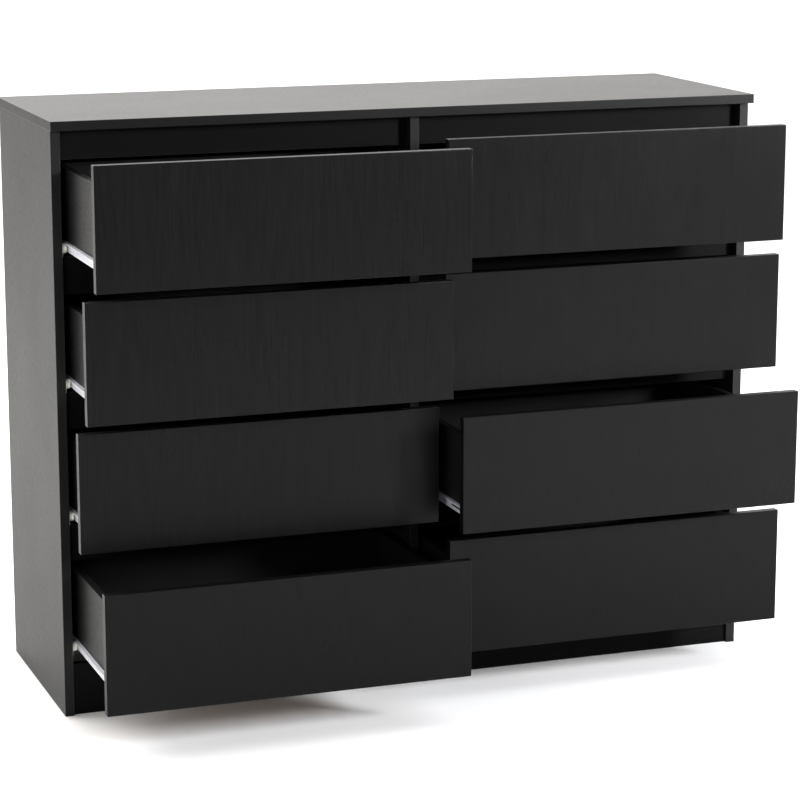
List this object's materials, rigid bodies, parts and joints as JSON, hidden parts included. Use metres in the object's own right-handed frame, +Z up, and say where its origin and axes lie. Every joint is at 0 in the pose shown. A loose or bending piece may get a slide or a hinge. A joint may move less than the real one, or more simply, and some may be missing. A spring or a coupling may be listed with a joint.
{
  "type": "dresser",
  "caption": "Low, wide black dresser with columns of handle-less overlay drawers on side roller runners, under a slightly overhanging top and above recessed plinth boards.",
  "frame": {"origin": "on the floor, at the middle of the carcass: halfway across its width, on the divider's lower edge, and halfway along the depth of the side panels", "axes": "+X to the right as one faces the drawers, along the width; +Y to the back, along the depth; +Z up"},
  "size_m": [1.2, 0.65, 0.96],
  "materials": {
    "black_foil_top": "satin black foil with a fine grain on particle board",
    "black_foil_upright": "satin black foil with a fine grain on particle board",
    "black_foil_rail": "matt black foil on particle board",
    "black_foil_front": "satin black foil with a fine vertical grain on particle board",
    "drawer_box_board": "plain black foil on thin particle board",
    "hardboard": "hardboard, one painted face and one rough brown face",
    "white_epoxy_steel": "white epoxy powder coat on pressed steel",
    "cream_nylon": "moulded cream nylon",
    "zinc_cam": "die-cast zinc",
    "zinc_screw": "bright zinc plate",
    "beech": "turned beech"
  },
  "bodies": {
    "carcass": {"top_panel": "black_foil_top", "left_side_panel": "black_foil_upright", "right_side_panel": "black_foil_upright", "centre_divider": "black_foil_upright", "top_rails": "black_foil_rail", "cross_rails": "black_foil_rail", "plinth_boards": "black_foil_rail", "back_panels": "hardboard", "cabinet_runners": "white_epoxy_steel", "runner_screws": "zinc_screw", "cam_fittings": "zinc_cam", "wooden_dowels": "beech"},
    "drawer_left_1": {"drawer_left_1_front": "black_foil_front", "drawer_left_1_box": "drawer_box_board", "drawer_left_1_base": "hardboard", "drawer_left_1_rails": "white_epoxy_steel"},
    "front_rollers_left_1": {"drawer_left_1_front_rollers": "cream_nylon"},
    "rear_rollers_left_1": {"drawer_left_1_rear_rollers": "cream_nylon"},
    "drawer_left_2": {"drawer_left_2_front": "black_foil_front", "drawer_left_2_box": "drawer_box_board", "drawer_left_2_base": "hardboard", "drawer_left_2_rails": "white_epoxy_steel"},
    "front_rollers_left_2": {"drawer_left_2_front_rollers": "cream_nylon"},
    "rear_rollers_left_2": {"drawer_left_2_rear_rollers": "cream_nylon"},
    "drawer_left_3": {"drawer_left_3_front": "black_foil_front", "drawer_left_3_box": "drawer_box_board", "drawer_left_3_base": "hardboard", "drawer_left_3_rails": "white_epoxy_steel"},
    "front_rollers_left_3": {"drawer_left_3_front_rollers": "cream_nylon"},
    "rear_rollers_left_3": {"drawer_left_3_rear_rollers": "cream_nylon"},
    "drawer_left_4": {"drawer_left_4_front": "black_foil_front", "drawer_left_4_box": "drawer_box_board", "drawer_left_4_base": "hardboard", "drawer_left_4_rails": "white_epoxy_steel"},
    "front_rollers_left_4": {"drawer_left_4_front_rollers": "cream_nylon"},
    "rear_rollers_left_4": {"drawer_left_4_rear_rollers": "cream_nylon"},
    "drawer_right_1": {"drawer_right_1_front": "black_foil_front", "drawer_right_1_box": "drawer_box_board", "drawer_right_1_base": "hardboard", "drawer_right_1_rails": "white_epoxy_steel"},
    "front_rollers_right_1": {"drawer_right_1_front_rollers": "cream_nylon"},
    "rear_rollers_right_1": {"drawer_right_1_rear_rollers": "cream_nylon"},
    "drawer_right_2": {"drawer_right_2_front": "black_foil_front", "drawer_right_2_box": "drawer_box_board", "drawer_right_2_base": "hardboard", "drawer_right_2_rails": "white_epoxy_steel"},
    "front_rollers_right_2": {"drawer_right_2_front_rollers": "cream_nylon"},
    "rear_rollers_right_2": {"drawer_right_2_rear_rollers": "cream_nylon"},
    "drawer_right_3": {"drawer_right_3_front": "black_foil_front", "drawer_right_3_box": "drawer_box_board", "drawer_right_3_base": "hardboard", "drawer_right_3_rails": "white_epoxy_steel"},
    "front_rollers_right_3": {"drawer_right_3_front_rollers": "cream_nylon"},
    "rear_rollers_right_3": {"drawer_right_3_rear_rollers": "cream_nylon"},
    "drawer_right_4": {"drawer_right_4_front": "black_foil_front", "drawer_right_4_box": "drawer_box_board", "drawer_right_4_base": "hardboard", "drawer_right_4_rails": "white_epoxy_steel"},
    "front_rollers_right_4": {"drawer_right_4_front_rollers": "cream_nylon"},
    "rear_rollers_right_4": {"drawer_right_4_rear_rollers": "cream_nylon"}
  },
  "joints": [
    {"name": "drawer_left_1_slide", "type": "slide", "parent": "carcass", "child": "drawer_left_1", "axis": [0, -1, 0], "range_m": [-0.25, 0.01]},
    {"name": "front_rollers_left_1_spin", "type": "hinge", "parent": "carcass", "child": "front_rollers_left_1", "pos_m": [-0.295, -0.17, 0.7585], "axis": [1, 0, 0], "continuous": true},
    {"name": "rear_rollers_left_1_spin", "type": "hinge", "parent": "drawer_left_1", "child": "rear_rollers_left_1", "pos_m": [-0.295, -0.105, 0.7561], "axis": [1, 0, 0], "continuous": true},
    {"name": "drawer_left_2_slide", "type": "slide", "parent": "carcass", "child": "drawer_left_2", "axis": [0, -1, 0], "range_m": [-0.174, 0.086]},
    {"name": "front_rollers_left_2_spin", "type": "hinge", "parent": "carcass", "child": "front_rollers_left_2", "pos_m": [-0.295, -0.17, 0.543], "axis": [1, 0, 0], "continuous": true},
    {"name": "rear_rollers_left_2_spin", "type": "hinge", "parent": "drawer_left_2", "child": "rear_rollers_left_2", "pos_m": [-0.295, -0.029, 0.5406], "axis": [1, 0, 0], "continuous": true},
    {"name": "drawer_left_3_slide", "type": "slide", "parent": "carcass", "child": "drawer_left_3", "axis": [0, -1, 0], "range_m": [-0.11, 0.15]},
    {"name": "front_rollers_left_3_spin", "type": "hinge", "parent": "carcass", "child": "front_rollers_left_3", "pos_m": [-0.295, -0.17, 0.3275], "axis": [1, 0, 0], "continuous": true},
    {"name": "rear_rollers_left_3_spin", "type": "hinge", "parent": "drawer_left_3", "child": "rear_rollers_left_3", "pos_m": [-0.295, 0.035, 0.3251], "axis": [1, 0, 0], "continuous": true},
    {"name": "drawer_left_4_slide", "type": "slide", "parent": "carcass", "child": "drawer_left_4", "axis": [0, -1, 0], "range_m": [-0.257, 0.003]},
    {"name": "front_rollers_left_4_spin", "type": "hinge", "parent": "carcass", "child": "front_rollers_left_4", "pos_m": [-0.295, -0.17, 0.112], "axis": [1, 0, 0], "continuous": true},
    {"name": "rear_rollers_left_4_spin", "type": "hinge", "parent": "drawer_left_4", "child": "rear_rollers_left_4", "pos_m": [-0.295, -0.112, 0.1096], "axis": [1, 0, 0], "continuous": true},
    {"name": "drawer_right_1_slide", "type": "slide", "parent": "carcass", "child": "drawer_right_1", "axis": [0, -1, 0], "range_m": [-0.128, 0.132]},
    {"name": "front_rollers_right_1_spin", "type": "hinge", "parent": "carcass", "child": "front_rollers_right_1", "pos_m": [0.295, -0.17, 0.7585], "axis": [1, 0, 0], "continuous": true},
    {"name": "rear_rollers_right_1_spin", "type": "hinge", "parent": "drawer_right_1", "child": "rear_rollers_right_1", "pos_m": [0.295, 0.017, 0.7561], "axis": [1, 0, 0], "continuous": true},
    {"name": "drawer_right_2_slide", "type": "slide", "parent": "carcass", "child": "drawer_right_2", "axis": [0, -1, 0], "range_m": [-0.116, 0.144]},
    {"name": "front_rollers_right_2_spin", "type": "hinge", "parent": "carcass", "child": "front_rollers_right_2", "pos_m": [0.295, -0.17, 0.543], "axis": [1, 0, 0], "continuous": true},
    {"name": "rear_rollers_right_2_spin", "type": "hinge", "parent": "drawer_right_2", "child": "rear_rollers_right_2", "pos_m": [0.295, 0.029, 0.5406], "axis": [1, 0, 0], "continuous": true},
    {"name": "drawer_right_3_slide", "type": "slide", "parent": "carcass", "child": "drawer_right_3", "axis": [0, -1, 0], "range_m": [-0.197, 0.063]},
    {"name": "front_rollers_right_3_spin", "type": "hinge", "parent": "carcass", "child": "front_rollers_right_3", "pos_m": [0.295, -0.17, 0.3275], "axis": [1, 0, 0], "continuous": true},
    {"name": "rear_rollers_right_3_spin", "type": "hinge", "parent": "drawer_right_3", "child": "rear_rollers_right_3", "pos_m": [0.295, -0.052, 0.3251], "axis": [1, 0, 0], "continuous": true},
    {"name": "drawer_right_4_slide", "type": "slide", "parent": "carcass", "child": "drawer_right_4", "axis": [0, -1, 0], "range_m": [-0.139, 0.121]},
    {"name": "front_rollers_right_4_spin", "type": "hinge", "parent": "carcass", "child": "front_rollers_right_4", "pos_m": [0.295, -0.17, 0.112], "axis": [1, 0, 0], "continuous": true},
    {"name": "rear_rollers_right_4_spin", "type": "hinge", "parent": "drawer_right_4", "child": "rear_rollers_right_4", "pos_m": [0.295, 0.006, 0.1096], "axis": [1, 0, 0], "continuous": true}
  ],
  "couplings": [
    {"joint": "front_rollers_left_1_spin", "follows": "drawer_left_1_slide", "rad_per_m": 125},
    {"joint": "rear_rollers_left_1_spin", "follows": "drawer_left_1_slide", "rad_per_m": 125},
    {"joint": "front_rollers_left_2_spin", "follows": "drawer_left_2_slide", "rad_per_m": 125},
    {"joint": "rear_rollers_left_2_spin", "follows": "drawer_left_2_slide", "rad_per_m": 125},
    {"joint": "front_rollers_left_3_spin", "follows": "drawer_left_3_slide", "rad_per_m": 125},
    {"joint": "rear_rollers_left_3_spin", "follows": "drawer_left_3_slide", "rad_per_m": 125},
    {"joint": "front_rollers_left_4_spin", "follows": "drawer_left_4_slide", "rad_per_m": 125},
    {"joint": "rear_rollers_left_4_spin", "follows": "drawer_left_4_slide", "rad_per_m": 125},
    {"joint": "front_rollers_right_1_spin", "follows": "drawer_right_1_slide", "rad_per_m": 125},
    {"joint": "rear_rollers_right_1_spin", "follows": "drawer_right_1_slide", "rad_per_m": 125},
    {"joint": "front_rollers_right_2_spin", "follows": "drawer_right_2_slide", "rad_per_m": 125},
    {"joint": "rear_rollers_right_2_spin", "follows": "drawer_right_2_slide", "rad_per_m": 125},
    {"joint": "front_rollers_right_3_spin", "follows": "drawer_right_3_slide", "rad_per_m": 125},
    {"joint": "rear_rollers_right_3_spin", "follows": "drawer_right_3_slide", "rad_per_m": 125},
    {"joint": "front_rollers_right_4_spin", "follows": "drawer_right_4_slide", "rad_per_m": 125},
    {"joint": "rear_rollers_right_4_spin", "follows": "drawer_right_4_slide", "rad_per_m": 125}
  ]
}
